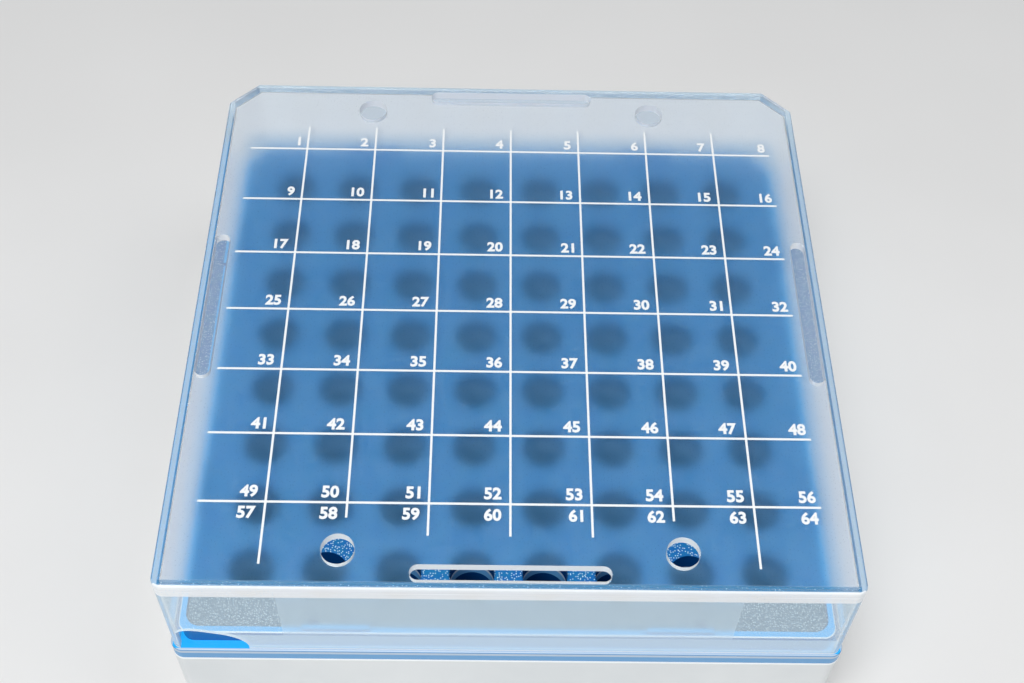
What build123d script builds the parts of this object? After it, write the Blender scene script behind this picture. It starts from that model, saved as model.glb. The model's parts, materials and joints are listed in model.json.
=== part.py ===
"""Cryogenic storage box: grey outer box, blue rack tray with 8 x 8 wells, clear lid with a printed grid.

Units are millimetres. The origin is the centre of the box's underside, +Z is up, and -Y is the front,
the side opposite the two clipped corners.
"""
import os
from math import sqrt

from build123d import *

# Overall size of the closed box, without the ink on its lid
box_width = 134.0
box_height = 53.0

# Corners in plan: the two at the front are round, the two at the back are cut off at 45 degrees
corner_radius = 2.5
corner_clip = 6.6
clip_blend = 0.8
smallest_radius = 0.6

# How far a cutting solid runs past the faces that it cuts
cut_past = 1.0

# Band of heights within which an edge counts as lying at a level
level_tolerance = 0.002

# Grey outer box
base_wall = 2.0
base_floor = 2.0
base_foot_radius = 1.5
seam_radius = 0.35

# Blue rack tray: its frame, and the plate inside it
band_height = 3.6
collar_height = 5.6
collar_wall = 1.3
collar_inner_radius = 3.0
collar_edge_radius = 0.4
spigot_depth = 3.0
spigot_clearance = 0.3
tab_width = 13.2
tab_height = 1.0
tab_offset = 33.8
plate_recess = 0.8
plate_thickness = 2.0
pip_diameter = 2.0
pip_depth = 1.2
pip_offset = 38.4
pip_margin = 0.4

# Wells in the tray, as many in a row as there are rows, and how far they stay from the frame
well_rows = 8
well_margin = 7.1
well_diameter = 9.2
well_wall = 1.0
well_floor = 1.2
well_lead_in = 0.3
well_ground_gap = 0.5

# Clear lid
lid_height = 26.3
lid_wall = 1.4
lid_top = 2.0
ledge_overhang = 0.5
lid_clearance = 0.3
lid_corner_radius = 2.0
lid_edge_radius = 0.7
lid_inner_radius = 0.6
vent_diameter = 6.4
vent_spacing = 65.0
vent_edge_distance = 8.7
slot_length = 37.8
slot_width = 3.2
slot_margin = 0.5

# Chip broken out of the lid's lower front edge, beside the left corner: its distance from the lid's left
# face, its length along the edge, its height, and how high its rim stands at its left side and along it,
# in shares of its length and height
chip_margin = 1.7
chip_length = 13.6
chip_height = 7.6
chip_shoulder = 0.85
chip_shape = [(0.10, 0.99), (0.30, 1.0), (0.50, 0.90), (0.71, 0.78), (0.87, 0.59), (0.98, 0.33)]

# White grid printed on the lid: how far its centre lies from the lid's, how far its rows stay from the
# box's sides, and how far the lines run past the outermost ones that they cross
print_lines = 7
print_line_width = 0.45
print_ink = 0.1
print_shift_x = -0.1
print_shift_y = -1.56
print_margin = 7.2
print_row_overrun = 13.0
print_column_head = 7.0
print_column_foot = [13.3, 3.3, 7.0, 7.0, 7.0, 3.3, 13.3]

# Levels above the table
ledge_level = box_height - lid_height
seam_level = ledge_level - band_height
rim_level = ledge_level + collar_height
plate_level = rim_level - plate_recess
well_foot_level = base_floor + well_ground_gap

# Insets of each wall's face from the outside of the outer box
lid_inset = ledge_overhang
lid_inner_inset = lid_inset + lid_wall
collar_inset = lid_inner_inset + lid_clearance
collar_inner_inset = collar_inset + collar_wall
spigot_inset = base_wall + spigot_clearance

# Patterns
well_radius = well_diameter / 2
well_span = box_width - 2 * (collar_inner_inset + well_margin + well_radius)
well_pitch = well_span / (well_rows - 1)
print_row_length = box_width - 2 * print_margin
print_span = print_row_length - 2 * print_row_overrun
print_pitch = print_span / (print_lines - 1)


def plan(inset, level, radius=corner_radius):
    """Plan of the box at a level, drawn in from the outer box by an inset."""
    half = box_width / 2 - inset
    clip = max(corner_clip - inset * (2 - sqrt(2)), smallest_radius)
    corners = [
        (-half, -half),
        (half, -half),
        (half, half - clip),
        (half - clip, half),
        (clip - half, half),
        (-half, half - clip),
    ]
    sheet = make_face(Polyline(*corners, close=True))
    front = sheet.vertices().filter_by(lambda v: v.Y < 0)
    sheet = fillet(front, max(radius, smallest_radius))
    back = sheet.vertices().filter_by(lambda v: v.Y > 0)
    sheet = fillet(back, clip_blend)
    return Pos(0, 0, level) * sheet


def slab(inset, bottom, top, radius=corner_radius):
    """Solid between two levels with the box's plan."""
    return extrude(plan(inset, bottom, radius), top - bottom)


def edges_at(solid, level):
    """Edges that lie flat at one level."""
    half = level_tolerance / 2
    return solid.edges().filter_by_position(Axis.Z, level - half, level + half)


def build_base_box():
    """Open outer box that the tray's band stands on."""
    outside = slab(0, 0, seam_level)
    outside = fillet(edges_at(outside, 0), base_foot_radius)
    outside = fillet(edges_at(outside, seam_level), seam_radius)
    inner_radius = max(corner_radius - base_wall, smallest_radius)
    return outside - slab(base_wall, base_floor, seam_level + cut_past, inner_radius)


def tray_inside(bottom, top):
    """Space inside the tray's frame between two levels."""
    return slab(collar_inner_inset, bottom, top, collar_inner_radius)


def build_tray_frame():
    """Outer part of the blue moulding: band, collar with eight tabs, and the spigot inside the base."""
    band = slab(0, seam_level, ledge_level)
    band = fillet(edges_at(band, seam_level), seam_radius)
    band = fillet(edges_at(band, ledge_level), seam_radius)
    collar = slab(collar_inset, ledge_level, rim_level)
    collar = fillet(edges_at(collar, rim_level), collar_edge_radius)
    spigot = slab(spigot_inset, seam_level - spigot_depth, seam_level)
    frame = band + collar + spigot
    frame -= tray_inside(seam_level - spigot_depth - cut_past, rim_level + cut_past)

    tab_foot = rim_level - collar_edge_radius
    tab_ring = slab(collar_inset + collar_edge_radius, tab_foot, rim_level + tab_height)
    tab_ring -= tray_inside(0, box_height)
    tab_bar = Pos(0, 0, rim_level) * Box(tab_width, box_width, box_height)
    tab_bars = [Pos(side * tab_offset, 0, 0) * tab_bar for side in (-1, 1)]
    tab_bars += [Rot(0, 0, 90) * bar for bar in tab_bars]
    for bar in tab_bars:
        frame += tab_ring & bar
    return frame


def well_steps():
    """Distances of the rows and columns of wells from the centre, in rising order."""
    return [well_pitch * index - well_span / 2 for index in range(well_rows)]


def build_well_row(index):
    """Strip of the tray's plate with one row of cups, the rows counted from the back."""
    y = well_steps()[well_rows - 1 - index]
    front = -box_width if index == well_rows - 1 else y - well_pitch / 2
    back = box_width if index == 0 else y + well_pitch / 2
    strip = Pos(0, (front + back) / 2, plate_level) * Box(box_width, back - front, box_height)
    row = tray_inside(plate_level - plate_thickness, plate_level) & strip

    on_foot = (Align.CENTER, Align.CENTER, Align.MIN)
    cup_height = plate_level - well_foot_level
    cup = Pos(0, 0, well_foot_level) * Cylinder(well_radius + well_wall, cup_height, align=on_foot)
    bore = Pos(0, 0, well_foot_level + well_floor) * Cylinder(well_radius, cup_height, align=on_foot)
    mouth_height = 2 * well_lead_in
    mouth = Cone(well_radius, well_radius + mouth_height, mouth_height, align=on_foot)
    mouth = Pos(0, 0, plate_level - well_lead_in) * mouth
    row += [Pos(x, y, 0) * cup for x in well_steps()]
    row -= [Pos(x, y, 0) * bore for x in well_steps()]
    row -= [Pos(x, y, 0) * mouth for x in well_steps()]

    pip_y = collar_inner_inset - box_width / 2 + pip_margin + pip_diameter / 2
    pip = Cylinder(pip_diameter / 2, pip_depth, align=(Align.CENTER, Align.CENTER, Align.MAX))
    if index == well_rows - 1:
        row -= [Pos(side * pip_offset, pip_y, plate_level) * pip for side in (-1, 1)]
    return row


def build_chip():
    """Block with the outline of the missing piece, standing through the lid's front wall."""
    left = lid_inset - box_width / 2 + chip_margin
    front = lid_inset - box_width / 2
    rim = [(left + chip_length * along, ledge_level + chip_height * up) for along, up in chip_shape]
    start = (left, ledge_level - cut_past)
    shoulder = (left, ledge_level + chip_shoulder * chip_height)
    finish = (left + chip_length, ledge_level)
    below = (left + chip_length, ledge_level - cut_past)
    wavy = Spline(shoulder, *rim, finish)
    face = make_face([Line(start, shoulder), wavy, Line(finish, below), Line(below, start)])
    upright = Plane(origin=(0, front - cut_past, 0), x_dir=(1, 0, 0), z_dir=(0, -1, 0))
    return extrude(upright * face, -(lid_wall + 2 * cut_past))


def build_lid():
    """Clear lid: open-bottomed box with vents and slots in its top and a chip in its front edge."""
    outside = slab(lid_inset, ledge_level, box_height, lid_corner_radius)
    outside = fillet(edges_at(outside, box_height), lid_edge_radius)
    ceiling = box_height - lid_top
    inner_radius = max(lid_corner_radius - lid_wall, smallest_radius)
    inside = slab(lid_inner_inset, ledge_level - cut_past, ceiling, inner_radius)
    inside = fillet(edges_at(inside, ceiling), lid_inner_radius)
    lid = outside - inside

    vent = Cylinder(vent_diameter / 2, 2 * (lid_top + cut_past))
    vent_y = box_width / 2 - vent_edge_distance
    for x in (-vent_spacing / 2, vent_spacing / 2):
        for y in (-vent_y, vent_y):
            lid -= Pos(x, y, box_height) * vent

    slot_depth = lid_top + lid_inner_radius
    slot_place = box_width / 2 - lid_inner_inset - slot_margin - slot_width / 2
    slot = extrude(SlotOverall(slot_length, slot_width), slot_depth + cut_past)
    slot = Pos(0, slot_place, box_height - slot_depth) * slot
    for turn in range(4):
        lid -= Rot(0, 0, 90 * turn) * slot
    return lid - build_chip()


def build_lid_print():
    """Printed grid: thin bars of ink on the lid's top, all joined where they cross."""
    flat = None
    for index in range(print_lines):
        step = print_pitch * index - print_span / 2
        foot = print_column_foot[index % len(print_column_foot)]
        length = print_column_head + print_span + foot
        column = Pos(step, (print_column_head - foot) / 2) * Rectangle(print_line_width, length)
        row = Pos(0, step) * Rectangle(print_row_length, print_line_width)
        flat = column + row if flat is None else flat + column + row
    return extrude(Pos(print_shift_x, print_shift_y, box_height) * flat, print_ink)


os.makedirs("parts", exist_ok=True)
export_step(build_base_box(), "parts/base_box.step")
export_step(build_tray_frame(), "parts/tray_frame.step")
for row_index in range(well_rows):
    export_step(build_well_row(row_index), f"parts/well_row_{row_index + 1}.step")
export_step(build_lid(), "parts/lid.step")
export_step(build_lid_print(), "parts/lid_print.step")
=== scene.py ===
"""Cryogenic storage box: finishes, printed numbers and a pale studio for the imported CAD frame."""
import json
from math import radians
from types import SimpleNamespace

import bmesh
import bpy
from bpy.props import FloatProperty, FloatVectorProperty, IntProperty, PointerProperty
from mathutils import Matrix, Vector


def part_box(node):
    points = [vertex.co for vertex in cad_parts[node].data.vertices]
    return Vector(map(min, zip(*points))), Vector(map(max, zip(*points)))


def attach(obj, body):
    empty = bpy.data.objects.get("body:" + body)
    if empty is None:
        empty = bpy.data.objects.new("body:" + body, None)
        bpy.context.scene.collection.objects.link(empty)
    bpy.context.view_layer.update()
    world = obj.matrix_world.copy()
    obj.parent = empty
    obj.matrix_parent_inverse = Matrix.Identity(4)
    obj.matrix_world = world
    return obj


bl_info = {
    "name": "Cryogenic Storage Box",
    "version": (1, 0, 0),
    "blender": (4, 5, 0),
    "location": "3D View > Sidebar > Storage Box",
    "description": "Dresses the storage box: grey base, blue rack tray, clear printed lid",
    "category": "Object",
}

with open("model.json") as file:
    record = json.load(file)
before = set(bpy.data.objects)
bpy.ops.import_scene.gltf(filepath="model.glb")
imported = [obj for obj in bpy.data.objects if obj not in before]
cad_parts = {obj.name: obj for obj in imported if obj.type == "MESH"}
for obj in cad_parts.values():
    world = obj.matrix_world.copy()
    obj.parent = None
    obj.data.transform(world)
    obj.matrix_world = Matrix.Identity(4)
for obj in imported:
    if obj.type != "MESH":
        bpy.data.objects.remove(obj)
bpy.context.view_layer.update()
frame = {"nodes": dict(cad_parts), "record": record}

mm = 0.001

# Places of the CAD pieces, which the finishes and the numbers follow
lid_low, lid_high = (Vector(corner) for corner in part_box("lid"))
print_low, print_high = (Vector(corner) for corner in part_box("lid_print"))
base_high = Vector(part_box("base_box")[1])
plate_high = Vector(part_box("well_row_1")[1])
lid_front = lid_low.y
ledge = lid_low.z

# Sum of x and y along the outside of the lid's clipped corners, and at the start of its round ones
lid_clip_sum = 126.69 * mm
lid_round_sum = 131.1 * mm

# Heights over the ledge, or under it where negative, between which it and the band have their finishes
ledge_from = -1.0 * mm
ledge_to = 0.5 * mm
band_to = -0.3 * mm

# Heights over the plate, or under it where negative, at which the plate, the rim and the wells start or end
plate_from = -0.6 * mm
plate_to = 0.3 * mm
rim_from = 0.5 * mm
well_to = -0.5 * mm

# How far below the collar's rim its painted highlight starts
rim_edge_drop = 0.6 * mm

# Depths on the lid: of a face, of its top, of the frost, of the edges with a painted white highlight, and
# of a wall's outside, which the holes stay clear of
face_depth = 0.06 * mm
top_depth = 0.1 * mm
frost_depth = 0.5 * mm
top_edge_depth = 0.75 * mm
top_edge_drop = 0.12 * mm
foot_depth = 0.45 * mm
clip_depth = 0.15 * mm
outside_depth = 0.5 * mm

# How far from the lid's left face the chip's broken faces start, and how far inside the wall they end
chip_from = 1.0 * mm
chip_past_wall = 0.1 * mm

# Share of a surface's normal that points along an axis, for a face that looks that way, one that slopes
# and one that stands upright, each with how softly it ends
facing_along = (0.6, 0.3)
facing_more = (0.25, 0.1)
facing_less = (0.9, 0.05)
facing_aside = (0.5, 0.2)

# How softly a mask in a finish ends, from a hair's breadth up
hair = 0.03 * mm
sharp = 0.05 * mm
crisp = 0.1 * mm
firm = 0.15 * mm
soft = 0.2 * mm
wide = 0.3 * mm
frost_fade = 0.4 * mm
front_fade = 0.6 * mm
side_fade = 3 * mm
back_fade = 4 * mm

# Bounces after which a ray counts as caught inside the clear plastic
most_bounces = 5

# Distance within which two points of a number's outline are one
weld_distance = 1e-6

# Lens and sensor of the camera in millimetres, its place beside and over the middle of the lid's top, and
# its turns in degrees: to the side, down from level, and about its own line of sight
camera_lens = 50.51
camera_sensor = 36.0
camera_side = -5.134 * mm
camera_back = -188.368 * mm
camera_rise = 239.098 * mm
camera_heading = -1.708
camera_dip = 53.164
camera_roll = 2.145


def length(name, description, millimetres):
    """Property for a length, with its default in metres."""
    return FloatProperty(name=name, description=description, default=millimetres * mm, subtype="DISTANCE",
                         unit="LENGTH", precision=5)


def share(name, description, value):
    """Property for a share between 0 and 1."""
    return FloatProperty(name=name, description=description, default=value, min=0, max=1, subtype="FACTOR")


def colour(name, description, value):
    """Property for a linear RGB colour."""
    return FloatVectorProperty(name=name, description=description, default=value, size=3, min=0, max=1,
                               subtype="COLOR")


class BaseSettings(bpy.types.PropertyGroup):
    """Finish of the grey outer box."""
    shell: colour("Shell", "Light grey of the outer box", (0.80, 0.83, 0.84))
    shell_shade: colour("Shell Shade", "Slightly darker grey that clouds the shell", (0.75, 0.785, 0.80))
    roughness: share("Roughness", "How matt the shell is", 0.42)
    cloud: length("Cloud", "Size of the faint clouds in the shell's grey", 18)
    grain: length("Grain", "Size of the shell's fine moulded grain", 0.35)
    grain_depth: length("Grain Depth", "Depth of that grain", 0.01)
    # Painted highlight: the white edge stands in for light caught on the shell's rounded mouth
    rim: colour("Rim", "White of the thin edge around the shell's mouth", (0.95, 0.99, 1.0))
    rim_height: length("Rim Height", "How far the white edge reaches down", 0.5)


class TraySettings(bpy.types.PropertyGroup):
    """Finish of the blue rack tray."""
    blue: colour("Blue", "Blue of the moulding's sides", (0.004, 0.13, 0.44))
    # Painted light: the tops of the ledge and the rim are a lighter azure where light falls on them
    lit_top_blue: colour("Bright Blue", "Azure that the ledge and the rim take on top", (0.02, 0.46, 0.98))
    rim_height: length("Rim Height", "How far the collar's rim stands above the ledge", 5.6)
    # Painted highlight along the rim's outer edge
    rim_edge_highlight: colour("Rim Edge", "White light along the outer edge of the rim", (0.85, 0.95, 1.0))
    roughness: share("Roughness", "Roughness of the smooth faces", 0.22)
    specular: share("Specular", "Strength of the reflections", 0.35)
    plate_blue: colour("Plate Blue", "Blue of the textured plate", (0.006, 0.18, 0.42))
    plate_roughness: share("Plate Roughness", "Roughness of the textured plate", 0.38)
    texture: length("Texture", "Size of the plate's fine texture", 0.5)
    texture_depth: length("Texture Depth", "Depth of that texture", 0.12)
    mottle: length("Mottle", "Size of the patches of a deeper blue on the plate", 1.6)
    # Painted shade: the wells are dark blue where little light reaches into them
    well_shade_blue: colour("Well Blue", "Dark blue inside the wells", (0.001, 0.05, 0.20))
    # Painted reflection: the plate's strip behind the lid's front wall is greyed as if it reflected light
    front_reflection_grey: colour("Front Grey", "Greyer blue of the plate behind the lid's front", (0.06, 0.14, 0.22))
    front_width: length("Front Width", "Width of that strip of the plate, from the lid's front face", 10.0)
    # Painted reflection: the band's upper half and the ledge left open beside the lid are grey lilac; the
    # band's lower blue, lighter than the tray's sides, is partly painted reflection too
    band_blue: colour("Band Blue", "Blue of the lower half of the band", (0.12, 0.36, 0.68))
    band_reflection_grey: colour("Band Grey", "Grey lilac of the band's upper half", (0.48, 0.61, 0.74))
    band_split: length("Band Split", "How far below the ledge the band turns blue", 1.2)
    # Painted glints: pale cyan dots stand in for sparkles of light on the plate's textured facets
    glint: colour("Glint", "Pale cyan of the sparkles in the plate", (0.75, 0.95, 1.0))
    glint_pitch: length("Glint Pitch", "Distance from one sparkle to the next", 0.48)
    glint_share: share("Glint Share", "Share of the places that hold a sparkle", 0.6)
    glint_size: length("Glint Size", "Radius of a sparkle", 0.10)


class LidSettings(bpy.types.PropertyGroup):
    """Finish of the clear lid."""
    tint: colour("Tint", "Faint tint of the clear plastic", (0.975, 0.99, 1.0))
    index: FloatProperty(name="Refractive Index", description="Index of the clear plastic", default=1.5,
                         min=1, max=2)
    clear_roughness: share("Clear Roughness", "Roughness of the polished faces", 0.02)
    frost_roughness: share("Frost Roughness", "Roughness of the frosted underside", 0.31)
    frost_haze: share("Frost Haze", "Haze of the frosted underside", 0.10)
    # Painted light: the tray's blue light is painted into the frost over it
    frost_tray_light: colour("Frost Tint", "Blue light of the tray, caught in the frost", (0.02, 0.48, 0.95))
    tray_light_back: length("Tint Back", "Where the tray's blue light ends towards the back", 50.0)
    tray_light_side: length("Tint Side", "Where the tray's blue light ends at either side", 61.0)
    rim_haze: share("Rim Haze", "Haze of the top's border, above the walls", 0.42)
    front_rim_haze: share("Front Rim Haze", "Haze of the top's border at the front", 0.6)
    # Painted light: the tray's blue light is painted into the front border
    front_rim_tray_light: colour("Front Rim Tint", "Blue light caught in the front border", (0.03, 0.20, 0.42))
    # Painted highlight: white along the top's front edge, the lower edge and the edges of the holes
    edge_highlight: colour("Edge White", "White of the top's edge and the lower edge", (0.97, 0.99, 1.0))
    clear_frost_haze: share("Clear Frost Haze", "Haze of the frost beyond the tray", 0.38)
    clear_frost_tint: colour("Clear Frost Tint", "White of the frost beyond the tray", (0.95, 0.96, 0.97))
    # Painted glints: milky dots on the lid's outside stand in for sparkles of light
    speck_glint: share("Speck Haze", "Haze of the fine bright specks on the lid's outside", 0.10)
    speck_share: share("Speck Share", "Share of the places that hold a speck", 0.4)
    speck_pitch: length("Speck Pitch", "Distance from one speck to the next", 0.75)
    speck_size: length("Speck Size", "Radius of a speck", 0.09)
    side_haze: share("Side Haze", "Haze of the outer walls at the sides and the back", 0.45)
    # Strength of the painted highlight along the edges of the vents and the slots
    hole_highlight: share("Hole Haze", "Haze of the edges of the vents and the slots", 0.78)
    skirt_haze: share("Skirt Haze", "Haze of the front wall before the tray's collar", 0.70)
    skirt_height: length("Skirt Height", "Height of that part of the front wall", 6.2)
    panel_roughness: share("Panel Roughness", "Roughness of the matt panel on the front", 0.22)
    haze: colour("Haze", "Milky white of the plastic where it scatters light", (0.74, 0.90, 1.0))
    wall_haze: share("Wall Haze", "Haze of the front wall beside the matt panel", 0.34)
    panel_haze: share("Panel Haze", "Haze of the matt panel", 0.50)
    # Strength of the painted highlights along the top's edge and the lower edge
    top_edge_highlight: share("Edge Haze", "Haze of the top's edge, seen through the front wall", 0.85)
    foot_highlight: share("Foot Haze", "Haze along the lower edge", 0.9)
    break_haze: share("Break Haze", "Haze of the rough faces of the chip", 0.85)
    top_thickness: length("Top Thickness", "Thickness of the lid's top", 2.0)
    wall: length("Wall", "Thickness of the lid's walls", 1.4)
    chip_end: length("Chip End", "How far from the lid's left face the chip ends", 15.5)
    chip_height: length("Chip Height", "Height of the chip", 7.8)
    panel_half_width: length("Panel Half Width", "Half the width of the matt panel on the front", 43.8)
    panel_drop: length("Panel Drop", "How far below the top the matt panel starts", 4.1)


class PrintSettings(bpy.types.PropertyGroup):
    """White print on the lid."""
    ink: colour("Ink", "White of the printed grid and numbers", (0.93, 0.95, 0.96))
    thin_ink: colour("Thin Ink", "Bluer white where the ink is thin", (0.80, 0.88, 0.93))
    thin_size: length("Thin Size", "Size of the places where the ink is thin", 0.4)
    roughness: share("Roughness", "Roughness of the full ink", 0.45)
    thin_roughness: share("Thin Roughness", "Roughness where the ink is thin", 0.6)
    lines: IntProperty(name="Lines", description="Printed lines each way", default=7, min=2)
    pitch: length("Pitch", "Distance between the printed lines", 15.6)
    shift: length("Shift", "How far the grid's centre lies from the lid's centre, towards the back", -1.56)
    digit_height: length("Digit Height", "Height of the printed numbers", 2.7)
    digit_squeeze: share("Digit Squeeze", "Width of a number as a share of the built-in font's", 0.98)
    digit_weight: share("Digit Weight", "How much the strokes are thickened, in shares of the font", 0.035)
    side_gap: length("Side Gap", "Gap between a number and the line to its right", 1.7)
    last_side_gap: length("Last Side Gap", "The same in the last column, which has no line", 3.4)
    line_gap: length("Line Gap", "Gap between a number and the line beside it", 1.0)


class StageSettings(bpy.types.PropertyGroup):
    """Floor, light and camera."""
    floor: colour("Floor", "Pale grey of the table", (0.82, 0.82, 0.815))
    cloud: length("Cloud", "Size of the faint clouds in the table's grey", 60)
    cloud_shade: share("Cloud Shade", "Brightness of those clouds as a share of the table's", 0.97)
    sky: colour("Sky", "Light that comes from all round", (0.95, 0.97, 1.0))
    sky_strength: FloatProperty(name="Sky Strength", description="Strength of the light from all round",
                                default=0.20, min=0)
    key_power: FloatProperty(name="Key Power", description="Power of the large soft lamp", default=7.1,
                             min=0, subtype="POWER", unit="POWER")
    fill_power: FloatProperty(name="Fill Power", description="Power of the soft lamp at the front",
                              default=1.3, min=0, subtype="POWER", unit="POWER")


def settings():
    """This scene's settings, one group for each part of the box."""
    return bpy.context.scene.storage_box


class StorageBoxSettings(bpy.types.PropertyGroup):
    """Everything that can be set, by part."""
    base: PointerProperty(type=BaseSettings, name="Base", description="Grey outer box")
    tray: PointerProperty(type=TraySettings, name="Tray", description="Blue rack tray")
    lid: PointerProperty(type=LidSettings, name="Lid", description="Clear lid")
    grid: PointerProperty(type=PrintSettings, name="Grid", description="White print on the lid")
    stage: PointerProperty(type=StageSettings, name="Stage", description="Floor, light and camera")


def rgba(value):
    """Colour with full alpha, as a shader socket takes it."""
    return (*value, 1.0)


class Shader:
    """Material whose nodes are added one by one, each with its inputs by name."""

    def __init__(self, name):
        self.material = bpy.data.materials.new(name)
        self.material.use_nodes = True
        self.tree = self.material.node_tree
        self.tree.nodes.clear()
        self.output = self.add("ShaderNodeOutputMaterial")
        self.place = self.add("ShaderNodeTexCoord").outputs["Object"]
        split = self.add("ShaderNodeSeparateXYZ", Vector=self.place)
        self.x, self.y, self.z = split.outputs

    def add(self, kind, options=None, **inputs):
        """New node, with its settings, and with values or links on its inputs."""
        node = self.tree.nodes.new(kind)
        for name, value in (options or {}).items():
            setattr(node, name, value)
        for name, value in inputs.items():
            self.feed(node.inputs[name.replace("_", " ")], value)
        return node

    def feed(self, socket, value):
        """Puts a value on a socket, or links another node's output to it."""
        if isinstance(value, bpy.types.NodeSocket):
            self.tree.links.new(value, socket)
        else:
            socket.default_value = value

    def math(self, operation, first, second=0.0):
        """Result of one arithmetic step on one value or two."""
        node = self.add("ShaderNodeMath", {"operation": operation})
        self.feed(node.inputs[0], first)
        self.feed(node.inputs[1], second)
        return node.outputs[0]

    def over(self, value, level, soft):
        """Mask that rises from 0 to 1 as a value passes a level."""
        ramp = self.add("ShaderNodeMapRange", {"interpolation_type": "SMOOTHSTEP"}, Value=value)
        self.feed(ramp.inputs["From Min"], level - soft)
        self.feed(ramp.inputs["From Max"], level + soft)
        return ramp.outputs["Result"]

    def under(self, value, level, soft):
        """Mask that falls from 1 to 0 as a value passes a level."""
        return self.outside(self.over(value, level, soft))

    def outside(self, mask):
        """Where a mask is 0."""
        return self.math("SUBTRACT", 1.0, mask)

    def both(self, *masks):
        """Where every mask is 1."""
        result = masks[0]
        for mask in masks[1:]:
            result = self.math("MULTIPLY", result, mask)
        return result

    def either(self, *masks):
        """Where at least one mask is 1."""
        result = masks[0]
        for mask in masks[1:]:
            result = self.math("MAXIMUM", result, mask)
        return result

    def blend(self, mask, first, second):
        """Colour that goes from the first to the second with a mask."""
        node = self.add("ShaderNodeMix", {"data_type": "RGBA"})
        self.feed(node.inputs["Factor"], mask)
        self.feed(node.inputs[6], first)
        self.feed(node.inputs[7], second)
        return node.outputs[2]

    def lerp(self, mask, first, second):
        """Number that goes from the first to the second with a mask."""
        node = self.add("ShaderNodeMix", {"data_type": "FLOAT"})
        self.feed(node.inputs["Factor"], mask)
        self.feed(node.inputs[2], first)
        self.feed(node.inputs[3], second)
        return node.outputs[0]

    def paint(self, tone, *coats):
        """Colour with others laid over it in turn, each where its mask is 1."""
        for mask, value in coats:
            tone = self.blend(mask, tone, rgba(value))
        return tone

    def set_where(self, amount, *changes):
        """Number that takes other values in turn, each where its mask is 1."""
        for mask, value in changes:
            amount = self.lerp(mask, amount, value)
        return amount

    def noise(self, size, detail=2.0):
        """Soft noise whose features are about one size."""
        node = self.add("ShaderNodeTexNoise", Vector=self.place, Scale=1 / size, Detail=detail)
        return node.outputs["Fac"]

    def dots(self, place, pitch, size, share):
        """Mask of small round dots, at a share of the places of a loose pattern across X and Y."""
        flat = {"voronoi_dimensions": "2D"}
        cells = self.add("ShaderNodeTexVoronoi", flat, Vector=place, Scale=1 / pitch)
        chance = self.add("ShaderNodeSeparateColor", Color=cells.outputs["Color"]).outputs[0]
        radius = size / pitch
        return self.both(self.under(chance, share, 0.02),
                         self.under(cells.outputs["Distance"], radius, radius / 2))

    def bump(self, height, depth):
        """Normals of a surface with a height pattern, at its real depth."""
        node = self.add("ShaderNodeBump", Strength=1.0, Distance=depth, Height=height)
        return node.outputs["Normal"]

    def facing(self, axis):
        """Component of the surface's normal along one axis, in the object's own frame."""
        spaces = {"vector_type": "NORMAL", "convert_from": "WORLD", "convert_to": "OBJECT"}
        turn = self.add("ShaderNodeVectorTransform", spaces)
        self.feed(turn.inputs[0], self.add("ShaderNodeNewGeometry").outputs["Normal"])
        return self.add("ShaderNodeSeparateXYZ", Vector=turn.outputs[0]).outputs[axis]

    def mix(self, mask, first, second):
        """Shader that goes from the first to the second with a mask."""
        node = self.add("ShaderNodeMixShader")
        for socket, value in zip(node.inputs, (mask, first, second)):
            self.feed(socket, value)
        return node.outputs[0]

    def finish(self, surface):
        """Material with this surface."""
        self.feed(self.output.inputs["Surface"], surface)
        return self.material


def grey_plastic():
    """Light grey shell, faintly clouded, with a fine moulded grain and a painted white highlight along its
    mouth.
    """
    base = settings().base
    shader = Shader("grey_plastic")
    cloud = shader.over(shader.noise(base.cloud), 0.5, 0.2)
    grain = shader.noise(base.grain)
    # Painted highlight: white along the shell's mouth
    mouth = shader.over(shader.z, base_high.z - base.rim_height, crisp)
    tone = shader.paint(rgba(base.shell), (cloud, base.shell_shade), (mouth, base.rim))
    roughness = shader.lerp(grain, base.roughness - 0.06, base.roughness + 0.08)

    plastic = shader.add("ShaderNodeBsdfPrincipled")
    shader.feed(plastic.inputs["Base Color"], tone)
    shader.feed(plastic.inputs["Roughness"], roughness)
    shader.feed(plastic.inputs["Normal"], shader.bump(grain, base.grain_depth))
    return shader.finish(plastic.outputs[0])


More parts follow.
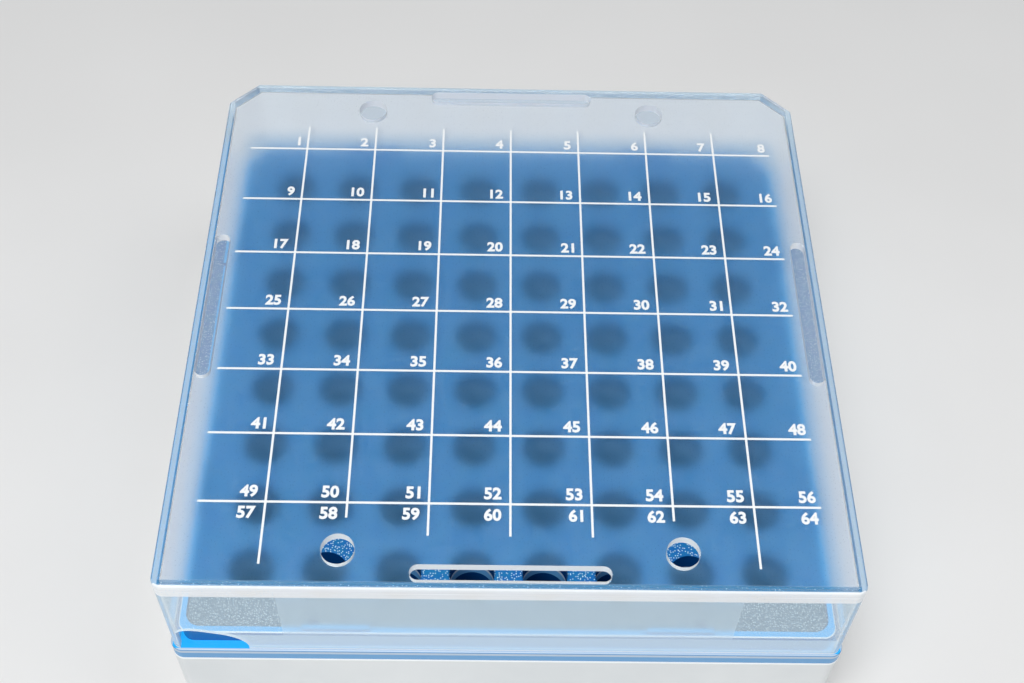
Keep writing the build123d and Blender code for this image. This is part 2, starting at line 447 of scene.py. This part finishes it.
def tray_places(shader):
    """Masks of the tray's band, ledge, rim, plate and wells, which carry its painted light, shade and
    reflections, and of its painted glints.
    """
    tray = settings().tray
    x_off = shader.math("ABSOLUTE", shader.x)
    y_off = shader.math("ABSOLUTE", shader.y)
    facing_up = shader.facing(2)
    # Upward faces on the ledge and the rim take the painted light
    upward = shader.over(facing_up, *facing_along)
    sloping = shader.both(shader.over(facing_up, *facing_more), shader.under(facing_up, *facing_less))

    on_ledge = shader.both(upward, shader.over(shader.z, ledge + ledge_from, wide),
                           shader.under(shader.z, ledge + ledge_to, soft))
    beside_lid = shader.either(shader.under(shader.y, lid_front, crisp),
                               shader.over(x_off, lid_high.x, crisp))
    on_rim = shader.both(upward, shader.over(shader.z, plate_high.z + rim_from, soft))
    # Painted highlight on the sloping faces at the top of the collar
    rim_edge_highlight = shader.both(sloping, shader.over(shader.z, ledge + tray.rim_height - rim_edge_drop, crisp))
    on_plate = shader.both(upward, shader.over(shader.z, plate_high.z + plate_from, soft),
                           shader.under(shader.z, plate_high.z + plate_to, crisp))
    # Painted shade below the plate, inside the wells
    in_well_shade = shader.both(shader.under(x_off, plate_high.x, soft),
                           shader.under(y_off, plate_high.y, soft),
                           shader.under(shader.z, plate_high.z + well_to, soft))
    # Painted glints on the plate
    glints = shader.dots(shader.place, tray.glint_pitch, tray.glint_size, tray.glint_share)
    return SimpleNamespace(
        band=shader.both(shader.over(shader.z, base_high.z, sharp),
                         shader.under(shader.z, ledge + band_to, crisp)),
        band_top=shader.over(shader.z, ledge - tray.band_split, firm),
        bright=shader.either(on_ledge, on_rim),
        open_ledge=shader.both(on_ledge, beside_lid),
        rim_edge_highlight=rim_edge_highlight,
        plate=on_plate,
        plate_front=shader.under(shader.y, lid_front + tray.front_width, front_fade),
        wells=in_well_shade,
        glints=shader.both(glints, on_plate),
    )


def blue_plastic():
    """Blue moulding, darker down its sides, with painted light on the ledge and rim tops, painted shade in
    the wells, painted reflections, a painted rim highlight and painted glints on the plate.
    """
    tray = settings().tray
    shader = Shader("blue_plastic")
    at = tray_places(shader)
    texture = shader.noise(tray.texture, 3.0)
    mottle = shader.over(shader.noise(tray.mottle), 0.5, 0.25)
    # Painted reflection greys the plate's strip behind the lid's front wall
    plate = shader.paint(rgba(tray.plate_blue), (mottle, tray.blue), (at.plate_front, tray.front_reflection_grey))
    # Painted reflection: grey lilac on the band's upper half
    band = shader.paint(rgba(tray.band_blue), (at.band_top, tray.band_reflection_grey))
    # Painted shade in the wells
    tone = shader.paint(rgba(tray.blue), (at.wells, tray.well_shade_blue))
    tone = shader.blend(at.plate, tone, plate)
    # Painted light on the ledge and rim tops; painted reflection on the open ledge
    tone = shader.paint(tone, (at.bright, tray.lit_top_blue), (at.open_ledge, tray.band_reflection_grey),
                        # Painted highlight along the rim's edge, then painted glints on the plate
                        (at.rim_edge_highlight, tray.rim_edge_highlight), (at.glints, tray.glint))
    tone = shader.blend(at.band, tone, band)

    plastic = shader.add("ShaderNodeBsdfPrincipled", Specular_IOR_Level=tray.specular)
    shader.feed(plastic.inputs["Base Color"], tone)
    shader.feed(plastic.inputs["Roughness"], shader.lerp(at.plate, tray.roughness, tray.plate_roughness))
    shader.feed(plastic.inputs["Normal"], shader.bump(shader.both(texture, at.plate), tray.texture_depth))
    return shader.finish(plastic.outputs[0])


def chip_faces(shader):
    """Mask of the broken faces of the chip in the lid's lower front edge, which face along the wall."""
    lid = settings().lid
    along = shader.under(shader.math("ABSOLUTE", shader.facing(1)), *facing_aside)
    beside = shader.both(shader.over(shader.x, lid_low.x + chip_from, crisp),
                         shader.under(shader.x, lid_low.x + lid.chip_end, crisp))
    low = shader.under(shader.z, lid_low.z + lid.chip_height, crisp)
    near = shader.under(shader.y, lid_front + lid.wall + chip_past_wall, sharp)
    return shader.both(along, beside, low, near)


def lid_places(shader):
    """Masks of the lid's faces and edges, of its frost, matt panel, holes and chip, and of its painted
    glint specks.
    """
    lid = settings().lid
    ceiling = lid_high.z - lid.top_thickness
    panel_top = lid_high.z - lid.panel_drop
    x_off = shader.math("ABSOLUTE", shader.x)
    y_off = shader.math("ABSOLUTE", shader.y)

    front = shader.under(shader.y, lid_front + face_depth, hair)
    on_top = shader.over(shader.z, lid_high.z - top_depth, hair)
    clipped = shader.over(shader.math("ADD", x_off, shader.y), lid_clip_sum - clip_depth, crisp)
    rounded = shader.over(shader.math("SUBTRACT", x_off, shader.y), lid_round_sum, crisp)
    outer = shader.either(shader.over(x_off, lid_high.x - face_depth, hair),
                          shader.over(shader.y, lid_high.y - face_depth, hair), clipped, rounded)

    frost = shader.both(shader.over(shader.z, ceiling - frost_depth, frost_fade),
                        shader.under(shader.z, ceiling + face_depth, hair))
    # Frost over the tray, where the tray's blue light is painted in, fading towards the back and the sides
    over_tray = shader.both(frost, shader.under(shader.y, lid.tray_light_back, back_fade),
                            shader.under(x_off, lid.tray_light_side, side_fade))
    border = shader.either(shader.over(x_off, lid_high.x - lid.wall, crisp),
                           shader.over(shader.y, lid_high.y - lid.wall, crisp))
    # Top's front edge, which takes a painted highlight
    top_edge = shader.both(shader.under(shader.y, lid_front + top_edge_depth, hair),
                           shader.over(shader.z, panel_top, firm),
                           shader.under(shader.z, lid_high.z - top_edge_drop, sharp))
    upright = shader.under(shader.math("ABSOLUTE", shader.facing(2)), *facing_aside)
    holes = shader.both(upright, shader.over(shader.z, ceiling, sharp),
                        shader.under(x_off, lid_high.x - outside_depth, crisp),
                        shader.under(y_off, lid_high.y - outside_depth, crisp))

    unfolded = shader.add("ShaderNodeCombineXYZ", X=shader.x, Y=shader.math("ADD", shader.y, shader.z))
    beside_panel = shader.both(front, shader.over(x_off, lid.panel_half_width, crisp))
    # Painted glints on the top and on the front wall beside the panel
    glint_specks = shader.dots(unfolded.outputs[0], lid.speck_pitch, lid.speck_size, lid.speck_share)
    return SimpleNamespace(
        front=front,
        outer=outer,
        frost=frost,
        over_tray=over_tray,
        beyond_tray=shader.both(frost, shader.outside(over_tray)),
        rim=shader.both(border, on_top),
        front_rim=shader.both(shader.under(shader.y, lid_front + lid.wall, crisp), on_top,
                              shader.under(x_off, lid_high.x - lid.wall, crisp)),
        top_edge=top_edge,
        foot=shader.under(shader.z, lid_low.z + foot_depth, crisp),
        holes=holes,
        panel=shader.both(front, shader.under(x_off, lid.panel_half_width, crisp),
                          shader.under(shader.z, panel_top, crisp)),
        skirt=shader.both(front, shader.under(shader.z, lid_low.z + lid.skirt_height, wide)),
        chip=chip_faces(shader),
        glint_specks=shader.both(glint_specks, shader.either(on_top, beside_panel)),
    )


def lid_haze(shader, at):
    """How milky the lid is at each place, and how strongly its painted highlights and glint specks show."""
    lid = settings().lid
    haze = shader.set_where(
        shader.math("MULTIPLY", at.front, lid.wall_haze),
        (at.over_tray, lid.frost_haze), (at.beyond_tray, lid.clear_frost_haze), (at.outer, lid.side_haze),
        (at.rim, lid.rim_haze), (at.front_rim, lid.front_rim_haze), (at.holes, lid.hole_highlight),
        (at.panel, lid.panel_haze), (at.skirt, lid.skirt_haze),
    )
    # Painted glints add to the milkiness at the specks
    haze = shader.math("ADD", haze, shader.math("MULTIPLY", at.glint_specks, lid.speck_glint))
    # Painted highlights along the top's edge and the lower edge; the chip's broken faces are milky
    return shader.set_where(haze, (at.top_edge, lid.top_edge_highlight), (at.foot, lid.foot_highlight),
                            (at.chip, lid.break_haze))


def clear_plastic():
    """Clear lid, frosted under its top and on the front panel, rough and white where it broke, with the
    tray's blue light painted into its frost and front border and painted highlights and glints.
    """
    lid = settings().lid
    shader = Shader("clear_plastic")
    at = lid_places(shader)
    plastic = shader.add("ShaderNodeBsdfPrincipled", IOR=lid.index)
    shader.feed(plastic.inputs["Base Color"], rgba(lid.tint))
    shader.feed(plastic.inputs["Transmission Weight"], 1.0)
    shader.feed(plastic.inputs["Roughness"],
                shader.set_where(lid.clear_roughness, (at.frost, lid.frost_roughness),
                                 (at.panel, lid.panel_roughness)))

    # Painted highlights: the top's front edge, the lower edge and the holes' edges are painted white
    white = shader.either(at.top_edge, at.foot, at.holes)
    # Painted light: the tray's blue in the frost and the front border; the frost's milkiness is the
    # plastic's own
    tone = shader.paint(rgba(lid.haze), (at.over_tray, lid.frost_tray_light),
                        (at.beyond_tray, lid.clear_frost_tint), (at.front_rim, lid.front_rim_tray_light),
                        (white, lid.edge_highlight), (at.glint_specks, lid.haze))
    milk = shader.add("ShaderNodeBsdfDiffuse", Color=tone)
    hazy = shader.mix(lid_haze(shader, at), plastic.outputs[0], milk.outputs[0])

    # Shadows, bounced light and rays caught inside the plastic pass straight through it
    through = shader.add("ShaderNodeBsdfTransparent", Color=rgba(lid.tint))
    path = shader.add("ShaderNodeLightPath")
    caught = shader.over(path.outputs["Ray Depth"], most_bounces, 0.4)
    passing = shader.either(path.outputs["Is Shadow Ray"], path.outputs["Is Diffuse Ray"], caught)
    return shader.finish(shader.mix(passing, hazy, through.outputs[0]))


def white_ink():
    """Thin white ink, a little uneven."""
    grid = settings().grid
    shader = Shader("white_ink")
    thin = shader.over(shader.noise(grid.thin_size), 0.62, 0.12)
    paint = shader.add("ShaderNodeBsdfPrincipled")
    shader.feed(paint.inputs["Base Color"], shader.paint(rgba(grid.ink), (thin, grid.thin_ink)))
    shader.feed(paint.inputs["Roughness"], shader.lerp(thin, grid.roughness, grid.thin_roughness))
    return shader.finish(paint.outputs[0])


def table_top():
    """Pale grey table, faintly clouded."""
    stage = settings().stage
    shader = Shader("table_top")
    cloud = shader.over(shader.noise(stage.cloud), 0.5, 0.3)
    darker = [stage.cloud_shade * part for part in stage.floor]
    matt = shader.add("ShaderNodeBsdfDiffuse", Color=shader.paint(rgba(stage.floor), (cloud, darker)))
    return shader.finish(matt.outputs[0])


def nodes_in_slot(slot):
    """CAD nodes whose finish the record names."""
    names = [part["node"] for part in frame["record"]["subparts"] if part["material_slot"] == slot]
    return [frame["nodes"][name] for name in names]


def coat(objects, material):
    """Gives each object one material."""
    for item in objects:
        item.data.materials.clear()
        item.data.materials.append(material)


def mesh_object(name, shape):
    """Object in the scene from a bmesh, which is freed."""
    mesh = bpy.data.meshes.new(name)
    shape.to_mesh(mesh)
    shape.free()
    item = bpy.data.objects.new(name, mesh)
    bpy.context.scene.collection.objects.link(item)
    return item


def number_shape(text, thickness):
    """Bmesh of one number, its right foot at the origin."""
    grid = settings().grid
    curve = bpy.data.curves.new("number", "FONT")
    curve.body = text
    curve.align_x = "RIGHT"
    curve.offset = grid.digit_weight
    curve.resolution_u = 3
    curve.extrude = thickness / 2
    item = bpy.data.objects.new("number", curve)
    bpy.context.scene.collection.objects.link(item)
    bpy.context.view_layer.update()
    drawn = item.evaluated_get(bpy.context.evaluated_depsgraph_get())
    shape = bmesh.new()
    shape.from_mesh(bpy.data.meshes.new_from_object(drawn))
    bpy.data.objects.remove(item)
    bmesh.ops.remove_doubles(shape, verts=shape.verts, dist=weld_distance)
    high = max(vert.co.y for vert in shape.verts)
    low = min(vert.co.y for vert in shape.verts)
    right = max(vert.co.x for vert in shape.verts)
    scale = grid.digit_height / (high - low)
    bmesh.ops.translate(shape, verts=shape.verts, vec=(-right, -low, 0))
    bmesh.ops.scale(shape, verts=shape.verts, vec=(scale * grid.digit_squeeze, scale, 1))
    return shape


def build_numbers():
    """Numbers of the cells, printed beside the grid's lines, joined into one piece."""
    grid = settings().grid
    thickness = print_high.z - print_low.z
    level = (print_low.z + print_high.z) / 2
    cells = grid.lines + 1
    edge = grid.pitch * (grid.lines - 1) / 2
    middle = (print_low.x + print_high.x) / 2
    joined = bmesh.new()
    for index in range(cells * cells):
        row, column = divmod(index, cells)
        last_column = column == cells - 1
        right = column * grid.pitch - edge - (grid.last_side_gap if last_column else grid.side_gap)
        if row < cells - 1:
            foot = edge - row * grid.pitch + grid.line_gap
        else:
            foot = -edge - grid.line_gap - grid.digit_height
        shape = number_shape(str(index + 1), thickness)
        bmesh.ops.translate(shape, verts=shape.verts, vec=(middle + right, foot + grid.shift, level))
        mesh = bpy.data.meshes.new("number")
        shape.to_mesh(mesh)
        shape.free()
        joined.from_mesh(mesh)
        bpy.data.meshes.remove(mesh)
    return mesh_object("lid_numbers", joined)


class STORAGEBOX_OT_base(bpy.types.Operator):
    """Give the outer box its grey plastic"""
    bl_idname = "storagebox.base"
    bl_label = "Grey Outer Box"

    def execute(self, context):
        coat(nodes_in_slot("outer_box"), grey_plastic())
        return {"FINISHED"}


class STORAGEBOX_OT_tray(bpy.types.Operator):
    """Give the rack tray its blue plastic"""
    bl_idname = "storagebox.tray"
    bl_label = "Blue Rack Tray"

    def execute(self, context):
        coat(nodes_in_slot("tray"), blue_plastic())
        return {"FINISHED"}


class STORAGEBOX_OT_lid(bpy.types.Operator):
    """Give the lid its clear and frosted plastic"""
    bl_idname = "storagebox.lid"
    bl_label = "Clear Lid"

    def execute(self, context):
        coat(nodes_in_slot("clear_lid"), clear_plastic())
        return {"FINISHED"}


class STORAGEBOX_OT_print(bpy.types.Operator):
    """Print the grid and its numbers on the lid"""
    bl_idname = "storagebox.print"
    bl_label = "Printed Grid and Numbers"

    def execute(self, context):
        numbers = build_numbers()
        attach(numbers, "lid")
        coat([*nodes_in_slot("ink"), numbers], white_ink())
        return {"FINISHED"}


def place_camera():
    """Camera at the photograph's viewing angle."""
    camera = bpy.data.objects.new("camera", bpy.data.cameras.new("camera"))
    camera.data.lens = camera_lens
    camera.data.sensor_width = camera_sensor
    spot = Vector((camera_side, camera_back, lid_high.z + camera_rise))
    heading = Matrix.Rotation(radians(camera_heading), 4, "Z")
    tilt = Matrix.Rotation(radians(90 - camera_dip), 4, "X")
    roll = Matrix.Rotation(radians(camera_roll), 4, "Z")
    camera.matrix_world = Matrix.Translation(spot) @ heading @ tilt @ roll
    bpy.context.scene.collection.objects.link(camera)
    bpy.context.scene.camera = camera


def add_lamp(name, place, size, power):
    """Square soft lamp at a place, aimed at the middle of the box."""
    light = bpy.data.lights.new(name, "AREA")
    light.size = size
    light.energy = power
    lamp = bpy.data.objects.new(name, light)
    lamp.location = place
    aim = Vector((0, 0, lid_high.z / 2))
    lamp.rotation_euler = (aim - lamp.location).to_track_quat("-Z", "Y").to_euler()
    bpy.context.scene.collection.objects.link(lamp)


class STORAGEBOX_OT_stage(bpy.types.Operator):
    """Set the table, the soft light and the camera"""
    bl_idname = "storagebox.stage"
    bl_label = "Studio"

    def execute(self, context):
        stage = settings().stage
        shape = bmesh.new()
        bmesh.ops.create_grid(shape, x_segments=1, y_segments=1, size=2.0)
        floor = mesh_object("floor", shape)
        coat([floor], table_top())

        world = bpy.data.worlds.new("studio")
        world.use_nodes = True
        sky = world.node_tree.nodes["Background"]
        sky.inputs["Color"].default_value = rgba(stage.sky)
        sky.inputs["Strength"].default_value = stage.sky_strength
        bpy.context.scene.world = world

        add_lamp("key", place=(-0.20, -0.40, 0.80), size=0.6, power=stage.key_power)
        add_lamp("fill", place=(0.55, -0.05, 0.60), size=0.5, power=stage.fill_power)
        place_camera()
        bpy.context.scene.view_settings.view_transform = "Standard"
        return {"FINISHED"}


class STORAGEBOX_PT_parts(bpy.types.Panel):
    """Parts of the storage box, each with its settings"""
    bl_idname = "STORAGEBOX_PT_parts"
    bl_label = "Storage Box"
    bl_space_type = "VIEW_3D"
    bl_region_type = "UI"
    bl_category = "Storage Box"

    def draw(self, context):
        groups = context.scene.storage_box
        for name, operator in (("base", STORAGEBOX_OT_base), ("tray", STORAGEBOX_OT_tray),
                               ("lid", STORAGEBOX_OT_lid), ("grid", STORAGEBOX_OT_print),
                               ("stage", STORAGEBOX_OT_stage)):
            box = self.layout.box()
            box.operator(operator.bl_idname)
            group = getattr(groups, name)
            for field in group.__annotations__:
                box.prop(group, field)


classes = (
    BaseSettings, TraySettings, LidSettings, PrintSettings, StageSettings, StorageBoxSettings,
    STORAGEBOX_OT_base, STORAGEBOX_OT_tray, STORAGEBOX_OT_lid, STORAGEBOX_OT_print, STORAGEBOX_OT_stage,
    STORAGEBOX_PT_parts,
)


def register():
    for cls in classes:
        bpy.utils.register_class(cls)
    bpy.types.Scene.storage_box = PointerProperty(type=StorageBoxSettings, name="Storage Box",
                                                  description="Settings of the storage box")


def unregister():
    del bpy.types.Scene.storage_box
    for cls in reversed(classes):
        bpy.utils.unregister_class(cls)


def main():
    register()
    bpy.ops.storagebox.base()
    bpy.ops.storagebox.tray()
    bpy.ops.storagebox.lid()
    bpy.ops.storagebox.print()
    bpy.ops.storagebox.stage()


if __name__ == "__main__":
    main()
